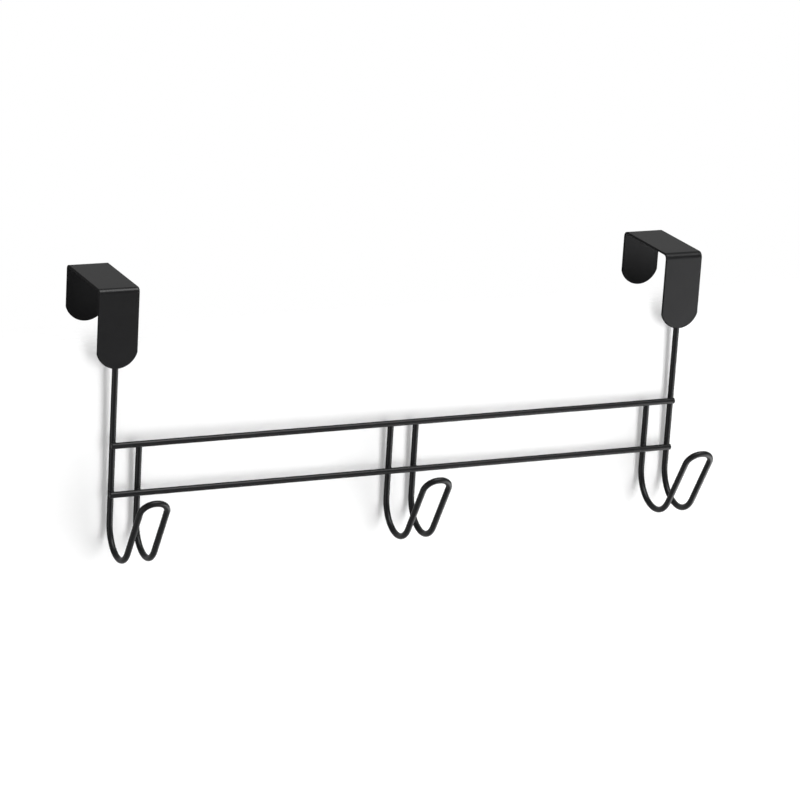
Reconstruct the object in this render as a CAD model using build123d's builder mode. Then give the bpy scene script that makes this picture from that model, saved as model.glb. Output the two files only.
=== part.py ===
from build123d import *
import os
from math import cos, radians, sin, tan

# Rack of double coat hooks that hangs over the top edge of a door, in steel, welded and then coated as one.
# Millimetres. +X runs along the bars, -Y faces into the room and +Z is up. The origin is on the door's top
# edge, in the middle of the door's thickness and midway between the two hangers.

# Door and hangers
door_gap = 41.0  # clear space for the door, from the back of the hooks' legs to the hangers' back legs
hanger_span = 296.0  # between the centre lines of the two hangers
strip_width = 20.0
strip_thickness = 1.0
strip_end_radius = 10.4  # just over half the width, so each round end meets the sides at a faint shoulder
strip_edge_chamfer = 0.2  # burr taken off all round
left_fold_radius = 1.2  # inside radius of a hanger's two folds
right_fold_radius = 1.9  # this strip was folded a little more gently
front_leg_depth = 37.7  # below the door's top edge
back_leg_depth = 27.3

# Wire
wire_diameter = 3.0
wire_end_chamfer = 0.35
strip_set_down = 0.2  # how far a leg is pressed into the strip when they are welded
wire_set_down = 0.4  # how far two wires are pressed into each other when they are welded

# Bars, below the door's top edge
upper_bar_drop = 75.3
bar_spacing = 24.3
bar_left_overhang = 1.5  # past the centre line of the left hook's outer leg
bar_right_overhang = 0.8  # past the centre line of the right hook's outer leg

# Hooks
leg_spacing = 13.3  # between the two legs of one hook, and between its two prongs
leg_behind_strip = 24.0  # how far an outer leg runs up behind the hanger
middle_hook_offset = 1.5  # the middle hook is welded a little to the right of the middle
prong_lean = 29.9  # degrees from upright
prong_length = 28.0  # straight stretch of a prong, between the bend and the tip
tip_flat = 0.4  # straight stretch across the tip, between its two round corners

# Bends, made by hand round a former, so that each hook has its own radius and its own drop below the lower bar
left_bend_radius = 13.7
left_hook_drop = 28.0
middle_bend_radius = 14.5
middle_hook_drop = 28.7
right_bend_radius = 16.2
right_hook_drop = 26.7

# Places that follow from these sizes
wire_radius = wire_diameter / 2
leg_y = -door_gap / 2 - wire_radius
strip_inner_y = leg_y - wire_radius + strip_set_down
bar_y = leg_y - wire_diameter + wire_set_down
upper_bar_z = -upper_bar_drop
lower_bar_z = upper_bar_z - bar_spacing
hanger_leg_top = leg_behind_strip - front_leg_depth

os.makedirs("parts", exist_ok=True)


def folded_hanger(centre_x, fold_radius):
    """One strip with round ends, folded over the door, with the longer leg to the front."""
    front_mid_y = strip_inner_y - strip_thickness / 2
    back_mid_y = door_gap / 2 + strip_thickness / 2
    top_mid_z = strip_thickness / 2
    with BuildPart() as hanger:
        with BuildSketch(Plane.YZ.offset(centre_x)):
            with BuildLine():
                FilletPolyline(
                    (front_mid_y, -front_leg_depth),
                    (front_mid_y, top_mid_z),
                    (back_mid_y, top_mid_z),
                    (back_mid_y, -back_leg_depth),
                    radius=fold_radius + strip_thickness / 2,
                )
            trace(line_width=strip_thickness)
        extrude(amount=strip_width / 2, both=True)
        for leg_mid_y, depth in ((front_mid_y, front_leg_depth), (back_mid_y, back_leg_depth)):
            with BuildSketch(Plane.XZ.offset(-leg_mid_y)):
                with Locations((centre_x, -depth)):
                    Rectangle(strip_width, strip_end_radius, align=(Align.CENTER, Align.MIN))
                with Locations((centre_x, strip_end_radius - depth)):
                    Circle(strip_end_radius, mode=Mode.SUBTRACT)
            extrude(amount=strip_thickness, both=True, mode=Mode.SUBTRACT)
        rims = hanger.edges().filter_by(Axis.X, reverse=True).filter_by(lambda edge: edge.length > strip_thickness)
        chamfer(rims, length=strip_edge_chamfer)
    return hanger


def bent_hook(centre_x, left_top, right_top, bend_radius, drop):
    """One wire: down a leg, round the bend, up a prong, across the tip and back down to the other leg."""
    left_x = centre_x - leg_spacing / 2
    right_x = centre_x + leg_spacing / 2
    lean = radians(prong_lean)
    tip_radius = (leg_spacing - tip_flat) / 2
    # The lines of leg and prong meet below the bend, and the prong's line runs on to the line of the tip
    bend_tangent = bend_radius / tan(lean / 2)
    meeting_z = lower_bar_z - drop + bend_radius - bend_tangent
    prong_run = bend_tangent + prong_length + tip_radius
    tip_y = leg_y - prong_run * sin(lean)
    tip_z = meeting_z + prong_run * cos(lean)
    with BuildPart() as hook:
        with BuildLine() as route:
            FilletPolyline(
                (left_x, leg_y, left_top),
                (left_x, leg_y, meeting_z),
                (left_x, tip_y, tip_z),
                (right_x, tip_y, tip_z),
                (right_x, leg_y, meeting_z),
                (right_x, leg_y, right_top),
                radius=[bend_radius, tip_radius, tip_radius, bend_radius],
            )
        with BuildSketch(Plane(origin=route.line @ 0, z_dir=route.line % 0)):
            Circle(wire_radius)
        sweep()
        ends = hook.faces().filter_by(Axis.Z)
        chamfer(ends.edges(), length=wire_end_chamfer)
    return hook


def straight_bar(bar_z, hooks):
    """A cut length of wire across the front of the legs, saddled where it is pressed and welded onto them."""
    left_end = -hanger_span / 2 - bar_left_overhang
    right_end = hanger_span / 2 + bar_right_overhang
    with BuildPart() as bar:
        with BuildSketch(Plane.YZ.offset(left_end)):
            with Locations((bar_y, bar_z)):
                Circle(wire_radius)
        extrude(amount=right_end - left_end)
        chamfer(bar.faces().filter_by(Axis.X).edges(), length=wire_end_chamfer)
        for hook in hooks:
            add(hook.part, mode=Mode.SUBTRACT)
    return bar


left_hanger = folded_hanger(-hanger_span / 2, left_fold_radius)
right_hanger = folded_hanger(hanger_span / 2, right_fold_radius)

outer_hook_x = (hanger_span - leg_spacing) / 2
left_wire = bent_hook(-outer_hook_x, hanger_leg_top, upper_bar_z, left_bend_radius, left_hook_drop)
middle_hook = bent_hook(middle_hook_offset, upper_bar_z, upper_bar_z, middle_bend_radius, middle_hook_drop)
right_wire = bent_hook(outer_hook_x, upper_bar_z, hanger_leg_top, right_bend_radius, right_hook_drop)

# The outer legs are pressed a little flat where they are welded to the hangers
with BuildPart() as left_hook:
    add(left_wire.part)
    add(left_hanger.part, mode=Mode.SUBTRACT)
with BuildPart() as right_hook:
    add(right_wire.part)
    add(right_hanger.part, mode=Mode.SUBTRACT)

hooks = (left_hook, middle_hook, right_hook)
upper_bar = straight_bar(upper_bar_z, hooks)
lower_bar = straight_bar(lower_bar_z, hooks)

pieces = {
    "left_hanger": left_hanger,
    "right_hanger": right_hanger,
    "upper_bar": upper_bar,
    "lower_bar": lower_bar,
    "left_hook": left_hook,
    "middle_hook": middle_hook,
    "right_hook": right_hook,
}
for name, piece in pieces.items():
    piece.part.label = name
    export_step(piece.part, f"parts/{name}.step")
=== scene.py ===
import math

import bmesh
import bpy
from mathutils import Matrix, Vector


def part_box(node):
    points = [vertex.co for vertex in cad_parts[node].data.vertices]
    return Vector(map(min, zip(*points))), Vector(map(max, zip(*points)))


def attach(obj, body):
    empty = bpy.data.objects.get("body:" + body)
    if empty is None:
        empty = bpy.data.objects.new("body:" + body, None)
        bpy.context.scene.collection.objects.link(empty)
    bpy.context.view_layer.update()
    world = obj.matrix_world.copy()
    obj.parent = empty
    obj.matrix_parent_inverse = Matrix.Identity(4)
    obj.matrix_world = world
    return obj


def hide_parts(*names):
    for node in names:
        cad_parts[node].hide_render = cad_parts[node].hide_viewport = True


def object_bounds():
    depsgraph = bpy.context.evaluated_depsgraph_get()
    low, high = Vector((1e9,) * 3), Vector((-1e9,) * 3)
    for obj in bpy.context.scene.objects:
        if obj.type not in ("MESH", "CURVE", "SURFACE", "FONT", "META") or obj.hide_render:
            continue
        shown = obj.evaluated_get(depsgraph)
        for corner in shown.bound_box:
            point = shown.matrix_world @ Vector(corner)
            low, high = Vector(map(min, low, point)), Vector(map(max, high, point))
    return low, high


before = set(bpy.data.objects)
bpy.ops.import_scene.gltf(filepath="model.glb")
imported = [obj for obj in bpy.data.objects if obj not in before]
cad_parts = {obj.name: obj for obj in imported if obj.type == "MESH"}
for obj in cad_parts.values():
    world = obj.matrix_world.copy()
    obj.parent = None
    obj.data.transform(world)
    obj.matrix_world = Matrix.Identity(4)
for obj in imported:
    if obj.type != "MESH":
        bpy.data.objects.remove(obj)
cad_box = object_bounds()

# Hangers: two strips of mild steel sheet, blanked with round ends and folded over a press brake into a U that
# drops over the door. After welding, one coat of powder wraps the whole rack and softens the strips' edges.
MM = 0.001
STRIP_THICKNESS = 1.0 * MM
STRIP_END_RADIUS = 10.4 * MM
FOLD_RADIUS = {"left_hanger": 1.2 * MM, "right_hanger": 1.9 * MM}
BACK_LEG_DEPTH = 27.3 * MM
EDGE_ROUND = 0.25 * MM
FLAT_MARGIN = 0.4 * MM  # a flat row of faces beside each rounding, which keeps its shading local
EDGE_STEPS = 4
FOLD_STEPS = 12
END_STEPS = 24


def hex_to_linear(code):
    """A colour written as sRGB hex, as the linear RGBA that a shader socket takes."""
    channels = [int(code[i:i + 2], 16) / 255 for i in (1, 3, 5)]
    return [c / 12.92 if c <= 0.04045 else ((c + 0.055) / 1.055) ** 2.4 for c in channels] + [1.0]


def add_node(tree, kind, settings=None, values=None, links=None):
    """Adds one node: settings are its properties, values its sockets' numbers, and links the outputs that
    feed its sockets. A socket goes by its name, or by its place where names repeat."""
    node = tree.nodes.new(kind)
    for name, value in (settings or {}).items():
        setattr(node, name, value)
    for name, value in (values or {}).items():
        node.inputs[name].default_value = value
    for name, source in (links or {}).items():
        tree.links.new(source, node.inputs[name])
    return node


def satin_powder_coat():
    """Satin black polyester powder, sprayed on and baked. It gives the eye a deep, slightly soft black whose
    sheen shows only in folds and at grazing angles, over a faint orange peel and a fine grit. It lies dull on
    sheared edges, whose torn steel it doesn't level."""
    deep_black, soft_black = "#0d0d0e", "#111112"
    tint_range = (0.3, 0.7)  # most of the clouds' noise lies between these
    cloud_width, cloud_detail = 14 * MM, 3.0
    peel_width, peel_detail = 1.4 * MM, 1.0
    peel_height = 0.012 * MM
    peel_strength = 0.6
    grit_width, grit_detail = 0.35 * MM, 2.0  # real grit is about a tenth of this, too fine to show
    smoothest, roughest = 0.36, 0.44
    edge_roughness = 0.9
    resin_ior = 1.5
    specular_level = 0.07  # plain resin has 0.5, but these faces stay blacker than that
    material = bpy.data.materials.new("satin_black_powder_coat")
    material.use_nodes = True
    tree = material.node_tree
    shader = tree.nodes["Principled BSDF"]
    place = add_node(tree, "ShaderNodeTexCoord").outputs["Object"]
    clouds = add_node(tree, "ShaderNodeTexNoise", values={"Scale": 1 / cloud_width, "Detail": cloud_detail},
                      links={"Vector": place})
    peel = add_node(tree, "ShaderNodeTexNoise", values={"Scale": 1 / peel_width, "Detail": peel_detail},
                    links={"Vector": place})
    grit = add_node(tree, "ShaderNodeTexNoise", values={"Scale": 1 / grit_width, "Detail": grit_detail},
                    links={"Vector": place})
    tint = add_node(tree, "ShaderNodeValToRGB", links={"Fac": clouds.outputs["Fac"]})
    for stop, position, black in zip(tint.color_ramp.elements, tint_range, (deep_black, soft_black)):
        stop.position = position
        stop.color = hex_to_linear(black)
    satin = add_node(tree, "ShaderNodeMapRange", values={"To Min": smoothest, "To Max": roughest},
                     links={"Value": grit.outputs["Fac"]})
    sheared = add_node(tree, "ShaderNodeAttribute", {"attribute_name": "sheared"})
    gloss = add_node(tree, "ShaderNodeMapRange", values={"To Max": edge_roughness}, links={
        "Value": sheared.outputs["Fac"], "To Min": satin.outputs["Result"]})
    relief = add_node(tree, "ShaderNodeBump", values={"Strength": peel_strength, "Distance": peel_height},
                      links={"Height": peel.outputs["Fac"]})
    tree.links.new(tint.outputs["Color"], shader.inputs["Base Color"])
    tree.links.new(gloss.outputs["Result"], shader.inputs["Roughness"])
    tree.links.new(relief.outputs["Normal"], shader.inputs["Normal"])
    shader.inputs["IOR"].default_value = resin_ior
    shader.inputs["Specular IOR Level"].default_value = specular_level
    return material


def mesh_piece(name, mesh):
    """Turns a bmesh into a smooth object with its faces outwards."""
    bmesh.ops.recalc_face_normals(mesh, faces=mesh.faces)
    data = bpy.data.meshes.new(name)
    mesh.to_mesh(data)
    mesh.free()
    data.shade_smooth()
    piece = bpy.data.objects.new(name, data)
    bpy.context.scene.collection.objects.link(piece)
    return piece


def folded_strip(name, node):
    """A round-ended strip, softened at its edges and folded to the CAD node's own box."""
    low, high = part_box(node)
    half_width = (high.x - low.x) / 2
    middle = (high.x + low.x) / 2
    fold = FOLD_RADIUS[node] + STRIP_THICKNESS / 2
    front_y = low.y + STRIP_THICKNESS / 2
    back_y = high.y - STRIP_THICKNESS / 2
    top_z = high.z - STRIP_THICKNESS / 2
    front_run = top_z - low.z - fold
    top_run = back_y - front_y - 2 * fold
    back_run = top_z + BACK_LEG_DEPTH - fold
    turn = fold * math.pi / 2
    length = front_run + top_run + back_run + 2 * turn

    def folded(along, across, off):
        """Folds a point of the flat strip: along its length, across its width, off its middle plane."""
        if along <= front_run:
            return Vector((middle + across, front_y - off, low.z + along))
        along -= front_run
        if along <= turn:
            angle = along / fold
            ring = fold + off
            return Vector((middle + across, front_y + fold - ring * math.cos(angle),
                           top_z - fold + ring * math.sin(angle)))
        along -= turn
        if along <= top_run:
            return Vector((middle + across, front_y + fold + along, top_z + off))
        along -= top_run
        if along <= turn:
            angle = along / fold
            ring = fold + off
            return Vector((middle + across, back_y - fold + ring * math.sin(angle),
                           top_z - fold + ring * math.cos(angle)))
        along -= turn
        return Vector((middle + across, back_y + off, top_z - fold - along))

    # Stations along one side between the round ends: each fold in steps, between two narrow flats
    bend = [-FLAT_MARGIN] + [turn * i / FOLD_STEPS for i in range(FOLD_STEPS + 1)] + [turn + FLAT_MARGIN]
    sides = [front_run + step for step in bend] + [front_run + turn + top_run + step for step in bend]

    def outline(inset):
        """(along, half width) pairs down one side of the strip, moved in from its rim by inset."""
        radius = STRIP_END_RADIUS - inset
        width = half_width - inset
        shoulder = math.asin(width / radius)
        arc = [shoulder * i / END_STEPS for i in range(END_STEPS + 1)]
        front = [(STRIP_END_RADIUS - radius * math.cos(a), radius * math.sin(a)) for a in arc]
        back = [(length - along, across) for along, across in reversed(front)]
        return front + [(along, width) for along in sides] + back

    # The rim's section, from the inner face's flat, round both edges, to the outer face's flat
    corner = [math.pi / 2 * i / EDGE_STEPS for i in range(EDGE_STEPS + 1)]
    lift = STRIP_THICKNESS / 2 - EDGE_ROUND
    outer = [(EDGE_ROUND * (1 - math.cos(a)), lift + EDGE_ROUND * math.sin(a)) for a in corner]
    outer.append((EDGE_ROUND + FLAT_MARGIN, STRIP_THICKNESS / 2))
    section = [(inset, -off) for inset, off in reversed(outer)] + outer

    mesh = bmesh.new()
    sheared = mesh.verts.layers.float.new("sheared")
    loops = []
    for inset, off in section:
        pairs = outline(inset)
        left = [mesh.verts.new(folded(along, -half, off)) for along, half in pairs]
        right = [mesh.verts.new(folded(along, half, off)) for along, half in pairs[1:-1]]
        loops.append((left, right))
        for vert in left + right:
            vert[sheared] = float(inset < EDGE_ROUND)
    for (left_a, right_a), (left_b, right_b) in zip(loops, loops[1:]):
        ring_a = left_a + right_a[::-1]
        ring_b = left_b + right_b[::-1]
        for i in range(len(ring_a)):
            j = (i + 1) % len(ring_a)
            mesh.faces.new((ring_a[i], ring_a[j], ring_b[j], ring_b[i]))
    for left, right in (loops[0], loops[-1]):
        mesh.faces.new((left[0], left[1], right[0]))
        for i in range(1, len(left) - 2):
            mesh.faces.new((left[i], left[i + 1], right[i], right[i - 1]))
        mesh.faces.new((left[-2], left[-1], right[-1]))
    return mesh_piece(name, mesh)


def finish_piece(piece, material, node=None):
    """Coats a piece, and sets it on the rack in place of its CAD node."""
    piece.data.materials.clear()
    piece.data.materials.append(material)
    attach(piece, "root")
    if node:
        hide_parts(node)


powder_coat = satin_powder_coat()
for node in ("left_hanger", "right_hanger"):
    finish_piece(folded_strip(f"{node}_strip", node), powder_coat, node)

# Hooks: three lengths of drawn steel wire. Each is bent into a hairpin, and the pair of wires is then bent by
# hand round a former into a J, so no two are quite alike. The outer legs run up behind the hangers.
WIRE_SIDES = 32
BEND_STEPS = 40
BEND_RADIUS = {"left_hook": 13.7 * MM, "middle_hook": 14.5 * MM, "right_hook": 16.2 * MM}
PRONG_LEAN = math.radians(29.9)
TIP_FLAT = 0.4 * MM
END_CHAMFER = 0.35 * MM
SHARP_EDGE = math.radians(30)


def drawn_wire_tree():
    """Turns a route of straight edges into round wire: fillets its corners and sweeps a circle along it."""
    tree = bpy.data.node_groups.new("drawn_wire", "GeometryNodeTree")
    tree.interface.new_socket("Route", in_out="INPUT", socket_type="NodeSocketGeometry")
    for name, kind in (("Radius", "NodeSocketFloat"), ("Sides", "NodeSocketInt"),
                       ("Bend Steps", "NodeSocketInt"), ("Finish", "NodeSocketMaterial")):
        tree.interface.new_socket(name, in_out="INPUT", socket_type=kind)
    tree.interface.new_socket("Wire", in_out="OUTPUT", socket_type="NodeSocketGeometry")
    given = add_node(tree, "NodeGroupInput").outputs
    bend = add_node(tree, "GeometryNodeInputNamedAttribute", {"data_type": "FLOAT"}, {"Name": "bend_radius"})
    taper = add_node(tree, "GeometryNodeInputNamedAttribute", {"data_type": "FLOAT"}, {"Name": "taper"})
    route = add_node(tree, "GeometryNodeMeshToCurve", links={"Mesh": given["Route"]})
    rounded = add_node(tree, "GeometryNodeFilletCurve", {"mode": "POLY"}, links={
        "Curve": route.outputs["Curve"], "Count": given["Bend Steps"], "Radius": bend.outputs["Attribute"]})
    circle = add_node(tree, "GeometryNodeCurvePrimitiveCircle", {"mode": "RADIUS"}, links={
        "Resolution": given["Sides"], "Radius": given["Radius"]})
    wire = add_node(tree, "GeometryNodeCurveToMesh", values={"Fill Caps": True}, links={
        "Curve": rounded.outputs["Curve"], "Profile Curve": circle.outputs["Curve"],
        "Scale": taper.outputs["Attribute"]})
    whole = add_node(tree, "GeometryNodeRealizeInstances", links={"Geometry": wire.outputs["Mesh"]})
    coated = add_node(tree, "GeometryNodeSetMaterial", links={
        "Geometry": whole.outputs["Geometry"], "Material": given["Finish"]})
    add_node(tree, "NodeGroupOutput", links={"Wire": coated.outputs["Geometry"]})
    return tree


def run_tree(name, start, tree, inputs):
    """Runs a node tree on a starting mesh and returns the result as a plain mesh object."""
    carrier = bpy.data.objects.new(name, start)
    bpy.context.scene.collection.objects.link(carrier)
    modifier = carrier.modifiers.new("shape", "NODES")
    modifier.node_group = tree
    for item in tree.interface.items_tree:
        if item.in_out == "INPUT" and item.name in inputs:
            modifier[item.identifier] = inputs[item.name]
    evaluated = carrier.evaluated_get(bpy.context.evaluated_depsgraph_get())
    shaped = bpy.data.meshes.new_from_object(evaluated)
    shaped.name = name
    shaped.shade_smooth()
    carrier.modifiers.remove(modifier)
    carrier.data = shaped
    return carrier


def wire_along(name, corners, bends):
    """A wire through these corners, each with its bend radius, cut square and chamfered at both ends."""
    first = corners[0].lerp(corners[1], END_CHAMFER / (corners[1] - corners[0]).length)
    last = corners[-1].lerp(corners[-2], END_CHAMFER / (corners[-2] - corners[-1]).length)
    points = [corners[0], first, *corners[1:-1], last, corners[-1]]
    radii = [0.0, 0.0, *bends, 0.0, 0.0]
    cut = 1 - END_CHAMFER / wire_radius
    tapers = [cut] + [1.0] * (len(points) - 2) + [cut]
    route = bpy.data.meshes.new(f"{name}_route")
    route.from_pydata(points, [(i, i + 1) for i in range(len(points) - 1)], [])
    route.attributes.new("bend_radius", "FLOAT", "POINT").data.foreach_set("value", radii)
    route.attributes.new("taper", "FLOAT", "POINT").data.foreach_set("value", tapers)
    inputs = {"Radius": wire_radius, "Sides": WIRE_SIDES, "Bend Steps": BEND_STEPS, "Finish": powder_coat}
    wire = run_tree(name, route, wire_tree, inputs)
    wire.data.set_sharp_from_angle(angle=SHARP_EDGE)
    return wire


def bent_hook(name, node, left_top, right_top):
    """A hook's route, from the CAD node's box and the bends that shape it."""
    low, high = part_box(node)
    bend_radius = BEND_RADIUS[node]
    left_x = low.x + wire_radius
    right_x = high.x - wire_radius
    leg_y = high.y - wire_radius
    tip_y = low.y + wire_radius
    bend_z = low.z + wire_radius + bend_radius
    meeting_z = bend_z - bend_radius / math.tan(PRONG_LEAN / 2)
    tip_z = meeting_z + (leg_y - tip_y) / math.tan(PRONG_LEAN)
    tip_radius = (right_x - left_x - TIP_FLAT) / 2
    corners = [
        Vector((left_x, leg_y, left_top)),
        Vector((left_x, leg_y, meeting_z)),
        Vector((left_x, tip_y, tip_z)),
        Vector((right_x, tip_y, tip_z)),
        Vector((right_x, leg_y, meeting_z)),
        Vector((right_x, leg_y, right_top)),
    ]
    return wire_along(name, corners, [bend_radius, tip_radius, tip_radius, bend_radius])


bar_low, bar_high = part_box("upper_bar")
wire_radius = (bar_high.z - bar_low.z) / 2
upper_bar_z = (bar_high.z + bar_low.z) / 2
outer_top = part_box("left_hook")[1].z
wire_tree = drawn_wire_tree()
hook_tops = {
    "left_hook": (outer_top, upper_bar_z),
    "middle_hook": (upper_bar_z, upper_bar_z),
    "right_hook": (upper_bar_z, outer_top),
}
for node, (left_top, right_top) in hook_tops.items():
    finish_piece(bent_hook(f"{node}_wire", node, left_top, right_top), powder_coat, node)

# Bars: two straight cuts of the same steel wire. They lie across the front of the hooks' legs, pressed onto
# them between electrodes and welded at each crossing.
for node in ("upper_bar", "lower_bar"):
    low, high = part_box(node)
    middle = (low + high) / 2
    ends = [Vector((low.x, middle.y, middle.z)), Vector((high.x, middle.y, middle.z))]
    finish_piece(wire_along(f"{node}_wire", ends, []), powder_coat, node)

# Welds: where two wires cross, or a leg lies against its hanger, steel squeezed out of the weld and powder
# that ran into the corner leave a small hollow fillet between them.
WELD_RADIUS = 0.65 * MM
SEAM_RADIUS = 0.45 * MM
WELD_TAPER = math.radians(25)  # over which a fillet runs out at its ends
SEAM_TAPER = 3.0 * MM
# How far a fillet reaches either way from its middle, where the bar or the leg ends at the crossing
LEFT_END_SPAN = math.radians(120)
RIGHT_END_SPAN = math.radians(102)
LEG_TOP_SPAN = math.radians(68)
THINNEST = 0.02 * MM  # a fillet's radius where it ends
ROUND_STEPS = 48
SEAM_STEPS = 30
HOLLOW_STEPS = 5
SINK = 0.3  # how far a fillet's root goes into the steel, towards the middle of the joint


def eased(share):
    """0 to 1 with level ends."""
    share = min(max(share, 0.0), 1.0)
    return share * share * (3 - 2 * share)


def hollow_section(mesh, middle, touches, inner):
    """One section of a fillet: a hollow arc round a ball's middle between its two touches, closed inside."""
    first, last = (touch - middle for touch in touches)
    points = [middle + first.length * first.slerp(last, i / HOLLOW_STEPS) for i in range(HOLLOW_STEPS + 1)]
    return [mesh.verts.new(point) for point in (*points, inner)]


def join_sections(mesh, sections, closed):
    """Faces between neighbouring sections, round in a ring or capped at both ends."""
    following = sections[1:] + sections[:1] if closed else sections[1:]
    for here, there in zip(sections, following):
        for i in range(len(here)):
            j = (i + 1) % len(here)
            mesh.faces.new((here[i], here[j], there[j], there[i]))
    if not closed:
        mesh.faces.new(sections[0])
        mesh.faces.new(sections[-1][::-1])


def ball_middle(angle, reach):
    """The point round a crossing, at this angle, from which both wires' lines are this far away."""
    ahead = wire_step / 2 + (reach - wire_step / 2) * math.cos(2 * angle)
    x = math.copysign(math.sqrt(max(reach ** 2 - ahead ** 2, 0.0)), math.sin(angle))
    z = math.copysign(math.sqrt(max(reach ** 2 - (wire_step - ahead) ** 2, 0.0)), math.cos(angle))
    return Vector((x, -ahead, z))


def crossing_weld(facing, span):
    """The fillet round a crossing of two wires, about the leg's own line at the bar's height.

    It is where a ball rolls round the crossing and touches both wires. Its angle starts over the bar and
    grows towards +X. It reaches span either way from facing, or all the way round."""
    closed = span >= math.pi
    mesh = bmesh.new()
    sections = []
    for i in range(ROUND_STEPS + (0 if closed else 1)):
        offset = span * (2 * i / ROUND_STEPS - 1)
        angle = facing + offset
        fullness = 1.0 if closed else eased((span - abs(offset)) / WELD_TAPER)
        ball = max(WELD_RADIUS * fullness, THINNEST)
        middle = ball_middle(angle, wire_radius + ball)
        share = wire_radius / (wire_radius + ball)
        on_leg = Vector((middle.x * share, middle.y * share, middle.z))
        on_bar = Vector((middle.x, -wire_step + (middle.y + wire_step) * share, middle.z * share))
        inner = ball_middle(angle, wire_radius).lerp(Vector((0, -wire_step / 2, 0)), SINK)
        sections.append(hollow_section(mesh, middle, (on_leg, on_bar), inner))
    join_sections(mesh, sections, closed)
    return mesh_piece("weld", mesh)


def hanger_seam():
    """The fillets down both sides of a leg behind its hanger, about the leg's line at the strip's end."""
    seam_start = SEAM_TAPER / 4
    mesh = bmesh.new()
    for side in (-1, 1):
        sections = []
        for i in range(SEAM_STEPS + 1):
            z = seam_start + (seam_length - 2 * seam_start) * i / SEAM_STEPS
            ball = max(SEAM_RADIUS * eased(min(z, seam_length - z) / SEAM_TAPER), THINNEST)
            reach = wire_radius + ball
            ahead = strip_step - ball
            aside = side * math.sqrt(reach ** 2 - ahead ** 2)
            share = wire_radius / reach
            middle = Vector((aside, -ahead, z))
            on_leg = Vector((aside * share, -ahead * share, z))
            on_strip = Vector((aside, -strip_step, z))
            root = side * math.sqrt(wire_radius ** 2 - strip_step ** 2)
            inner = Vector((root * (1 - SINK), -strip_step, z))
            sections.append(hollow_section(mesh, middle, (on_leg, on_strip), inner))
        join_sections(mesh, sections, closed=False)
    return mesh_piece("weld", mesh)


def repeated_weld_tree():
    """Sets one weld on every place, made whole and coated."""
    tree = bpy.data.node_groups.new("repeated_weld", "GeometryNodeTree")
    for name, kind in (("Places", "NodeSocketGeometry"), ("Weld", "NodeSocketObject"),
                       ("Finish", "NodeSocketMaterial")):
        tree.interface.new_socket(name, in_out="INPUT", socket_type=kind)
    tree.interface.new_socket("Welds", in_out="OUTPUT", socket_type="NodeSocketGeometry")
    given = add_node(tree, "NodeGroupInput").outputs
    weld = add_node(tree, "GeometryNodeObjectInfo", links={"Object": given["Weld"]})
    each = add_node(tree, "GeometryNodeInstanceOnPoints", links={
        "Points": given["Places"], "Instance": weld.outputs["Geometry"]})
    whole = add_node(tree, "GeometryNodeRealizeInstances", links={"Geometry": each.outputs["Instances"]})
    coated = add_node(tree, "GeometryNodeSetMaterial", links={
        "Geometry": whole.outputs["Geometry"], "Material": given["Finish"]})
    add_node(tree, "NodeGroupOutput", links={"Welds": coated.outputs["Geometry"]})
    return tree


leg_x = [x for node in hook_tops for x in (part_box(node)[0].x + wire_radius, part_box(node)[1].x - wire_radius)]
leg_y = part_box("middle_hook")[1].y - wire_radius
wire_step = leg_y - (bar_low.y + bar_high.y) / 2
strip_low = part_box("left_hanger")[0]
strip_step = leg_y - strip_low.y - STRIP_THICKNESS
seam_length = outer_top - strip_low.z
lower_bar_z = (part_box("lower_bar")[0].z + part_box("lower_bar")[1].z) / 2
bars_z = (upper_bar_z, lower_bar_z)
welds = {
    "crossing_welds": (crossing_weld(0.0, math.pi), [(x, leg_y, lower_bar_z) for x in leg_x[1:-1]]),
    "leg_top_welds": (crossing_weld(math.pi, LEG_TOP_SPAN), [(x, leg_y, upper_bar_z) for x in leg_x[1:-1]]),
    "left_end_welds": (crossing_weld(math.pi / 2, LEFT_END_SPAN), [(leg_x[0], leg_y, z) for z in bars_z]),
    "right_end_welds": (crossing_weld(-math.pi / 2, RIGHT_END_SPAN), [(leg_x[-1], leg_y, z) for z in bars_z]),
    "hanger_welds": (hanger_seam(), [(x, leg_y, strip_low.z) for x in (leg_x[0], leg_x[-1])]),
}
weld_tree = repeated_weld_tree()
for name, (weld, places) in welds.items():
    points = bpy.data.meshes.new(f"{name}_places")
    points.from_pydata(places, [], [])
    finish_piece(run_tree(name, points, weld_tree, {"Weld": weld, "Finish": powder_coat}), powder_coat)
    bpy.data.objects.remove(weld)

# Backdrop: a plain white board close behind the wires, which takes their soft shadow, and a plain white floor
# well below. Both fade out at the rim, and are clear when the camera looks at their backs.
FLOOR_DROP = 0.90
BOARD_GAP = 2.7 * MM  # behind the legs, at the middle of the upper bar
BOARD_LEAN = math.radians(1.8)  # top away from the rack
BOARD_TURN = math.radians(0.15)  # right side towards the rack
BOARD_TOP = -16 * MM
BOARD_FADE = 26 * MM
BOARD_REACH = 0.50  # from the rack's own origin
FLOOR_REACH = 3.0
REACH_FADE = 0.14  # width of the fading rim
BOARD_WHITE = "#ebebeb"
BOARD_LIFT = 0.20  # light of its own, where it is seen
FLOOR_LIFT = 0.75


def seen_rays(tree):
    """1 for what is seen directly, in gloss or through glass, and 0 for light that a matt surface gathers."""
    path = add_node(tree, "ShaderNodeLightPath").outputs
    direct = add_node(tree, "ShaderNodeMath", {"operation": "MAXIMUM"}, links={
        0: path["Is Camera Ray"], 1: path["Is Glossy Ray"]})
    seen = add_node(tree, "ShaderNodeMath", {"operation": "MAXIMUM"}, links={
        0: direct.outputs[0], 1: path["Is Transmission Ray"]})
    return seen.outputs[0]


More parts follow.
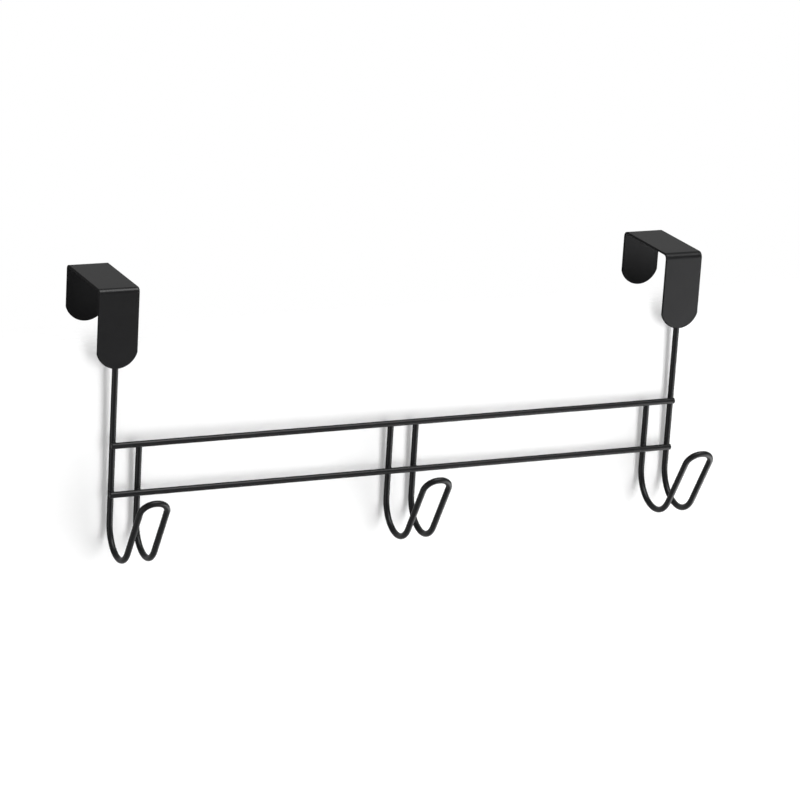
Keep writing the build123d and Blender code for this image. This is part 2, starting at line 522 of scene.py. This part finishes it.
def white_board(name, lift, reach):
    """Matt white board. Where it is seen it is lifted to white, and it keeps its shadows. It is clear past
    its reach, and where the camera sees its back."""
    material = bpy.data.materials.new(name)
    material.use_nodes = True
    tree = material.node_tree
    tree.nodes.clear()
    matt = add_node(tree, "ShaderNodeBsdfDiffuse", values={"Color": hex_to_linear(BOARD_WHITE)})
    glow = add_node(tree, "ShaderNodeEmission", values={"Color": (lift, lift, lift, 1.0)},
                    links={"Strength": seen_rays(tree)})
    both = add_node(tree, "ShaderNodeAddShader", links={0: matt.outputs[0], 1: glow.outputs[0]})
    clear = add_node(tree, "ShaderNodeBsdfTransparent")
    place = add_node(tree, "ShaderNodeTexCoord").outputs["Object"]
    height = add_node(tree, "ShaderNodeSeparateXYZ", links={"Vector": place})
    top = add_node(tree, "ShaderNodeMapRange", {"interpolation_type": "SMOOTHSTEP"}, {
        "From Min": BOARD_TOP - BOARD_FADE, "From Max": BOARD_TOP}, {"Value": height.outputs["Z"]})
    spread = add_node(tree, "ShaderNodeVectorMath", {"operation": "LENGTH"}, links={"Vector": place})
    rim = add_node(tree, "ShaderNodeMapRange", {"interpolation_type": "SMOOTHSTEP"}, {
        "From Min": reach - REACH_FADE, "From Max": reach}, {"Value": spread.outputs["Value"]})
    edge = add_node(tree, "ShaderNodeMath", {"operation": "MAXIMUM"}, links={
        0: top.outputs["Result"], 1: rim.outputs["Result"]})
    behind = add_node(tree, "ShaderNodeMath", {"operation": "MULTIPLY"}, links={
        0: add_node(tree, "ShaderNodeNewGeometry").outputs["Backfacing"],
        1: add_node(tree, "ShaderNodeLightPath").outputs["Is Camera Ray"]})
    hidden = add_node(tree, "ShaderNodeMath", {"operation": "MAXIMUM"}, links={
        0: edge.outputs[0], 1: behind.outputs[0]})
    shown = add_node(tree, "ShaderNodeMixShader", links={
        "Fac": hidden.outputs[0], 1: both.outputs[0], 2: clear.outputs[0]})
    add_node(tree, "ShaderNodeOutputMaterial", links={"Surface": shown.outputs[0]})
    return material


def board(name, corners, material):
    """A flat plate of the backdrop."""
    data = bpy.data.meshes.new(name)
    data.from_pydata(corners, [], [range(len(corners))])
    data.materials.append(material)
    plate = bpy.data.objects.new(name, data)
    bpy.context.scene.collection.objects.link(plate)


board_white = white_board("matt_white_board", BOARD_LIFT, BOARD_REACH)
floor_white = white_board("matt_white_floor", FLOOR_LIFT, FLOOR_REACH)


def on_board(x, z):
    """A point of the leaning board."""
    away = BOARD_GAP + (z - upper_bar_z) * math.tan(BOARD_LEAN) - x * math.tan(BOARD_TURN)
    return x, leg_y + wire_radius + away, z


board("back_board", [
    on_board(-BOARD_REACH, -BOARD_REACH), on_board(BOARD_REACH, -BOARD_REACH),
    on_board(BOARD_REACH, BOARD_TOP), on_board(-BOARD_REACH, BOARD_TOP)], board_white)
board("floor", [
    (-FLOOR_REACH, -FLOOR_REACH, -FLOOR_DROP), (FLOOR_REACH, -FLOOR_REACH, -FLOOR_DROP),
    (FLOOR_REACH, FLOOR_REACH, -FLOOR_DROP), (-FLOOR_REACH, FLOOR_REACH, -FLOOR_DROP)], floor_white)

# Light: a white room with a dimmer ceiling. A tall key softbox at the front right lights the front and throws
# the shadows. Four more, above, at the lower right, at the left and below, only show in the coat's gloss.
AMBIENT = 0.4  # the room's strength on matt surfaces
CEILING = 0.7  # the ceiling's strength in gloss, where a wall has 1
CEILING_START = -0.05  # rise of the direction in which the wall starts to turn into ceiling
CEILING_END = 0.30
# Each softbox: name, place, width and height in metres, watts, and the kind of surface that it shows on
SOFTBOXES = (
    ("key_softbox", (0.60, -1.45, -0.15), (0.75, 1.40), 20.5, "matt"),
    ("high_softbox", (0.20, -0.45, 1.12), (0.80, 0.80), 63.0, "gloss"),
    ("low_softbox", (1.10, -0.85, -0.38), (0.60, 0.60), 19.0, "gloss"),
    ("left_softbox", (-1.14, -0.39, -0.38), (0.90, 1.20), 17.0, "gloss"),
    ("floor_softbox", (0.45, -0.15, -0.45), (0.70, 0.45), 11.0, "gloss"),
)
world = bpy.data.worlds.new("white_room")
bpy.context.scene.world = world
world.use_nodes = True
world_tree = world.node_tree
world_tree.nodes.clear()
heading = add_node(world_tree, "ShaderNodeSeparateXYZ", links={
    "Vector": add_node(world_tree, "ShaderNodeTexCoord").outputs["Generated"]})
wall = add_node(world_tree, "ShaderNodeMapRange", {"interpolation_type": "SMOOTHSTEP"}, {
    "From Min": CEILING_START, "From Max": CEILING_END, "To Min": 1.0, "To Max": CEILING},
    {"Value": heading.outputs["Z"]})
white = add_node(world_tree, "ShaderNodeMath", {"operation": "MAXIMUM"}, links={
    0: wall.outputs["Result"], 1: add_node(world_tree, "ShaderNodeLightPath").outputs["Is Camera Ray"]})
level = add_node(world_tree, "ShaderNodeMapRange", values={"To Min": AMBIENT},
                 links={"Value": seen_rays(world_tree), "To Max": white.outputs[0]})
room = add_node(world_tree, "ShaderNodeBackground", values={"Color": (1.0, 1.0, 1.0, 1.0)},
                links={"Strength": level.outputs["Result"]})
add_node(world_tree, "ShaderNodeOutputWorld", links={"Surface": room.outputs[0]})
target = (cad_box[0] + cad_box[1]) / 2
for name, place, size, power, shows in SOFTBOXES:
    lamp = bpy.data.lights.new(name, "AREA")
    lamp.shape = "RECTANGLE"
    lamp.size, lamp.size_y = size
    lamp.energy = power
    box = bpy.data.objects.new(name, lamp)
    box.location = place
    box.rotation_euler = (target - box.location).to_track_quat("-Z", "Y").to_euler()
    box.visible_camera = False
    box.visible_diffuse = shows == "matt"
    box.visible_glossy = shows == "gloss"
    bpy.context.scene.collection.objects.link(box)

# Camera: a long lens from the left and above, tilted a little, as the photograph was framed. Its angles,
# place and lens were fitted to the rack's outline there.
AZIMUTH = math.radians(-25.0035)
ELEVATION = math.radians(17.4715)
ROLL = math.radians(3.4832)
DISTANCE = 1.77699
SHIFT_RIGHT = 4.228 * MM
SHIFT_UP = -68.10 * MM
FOCAL_PIXELS = 3674.4
PICTURE_PIXELS = 800
SENSOR_WIDTH = 36.0
back = Vector((math.sin(AZIMUTH) * math.cos(ELEVATION), -math.cos(AZIMUTH) * math.cos(ELEVATION),
               math.sin(ELEVATION)))
level_right = Vector((math.cos(AZIMUTH), math.sin(AZIMUTH), 0))
level_up = back.cross(level_right)
right = math.cos(ROLL) * level_right + math.sin(ROLL) * level_up
up = -math.sin(ROLL) * level_right + math.cos(ROLL) * level_up
lens = bpy.data.cameras.new("camera")
lens.sensor_width = SENSOR_WIDTH
lens.lens = FOCAL_PIXELS / PICTURE_PIXELS * SENSOR_WIDTH
camera = bpy.data.objects.new("camera", lens)
spot = SHIFT_RIGHT * right + SHIFT_UP * up + DISTANCE * back
camera.matrix_world = Matrix.Translation(spot) @ Matrix((right, up, back)).transposed().to_4x4()
bpy.context.scene.collection.objects.link(camera)
bpy.context.scene.camera = camera
bpy.context.scene.view_settings.view_transform = "Standard"
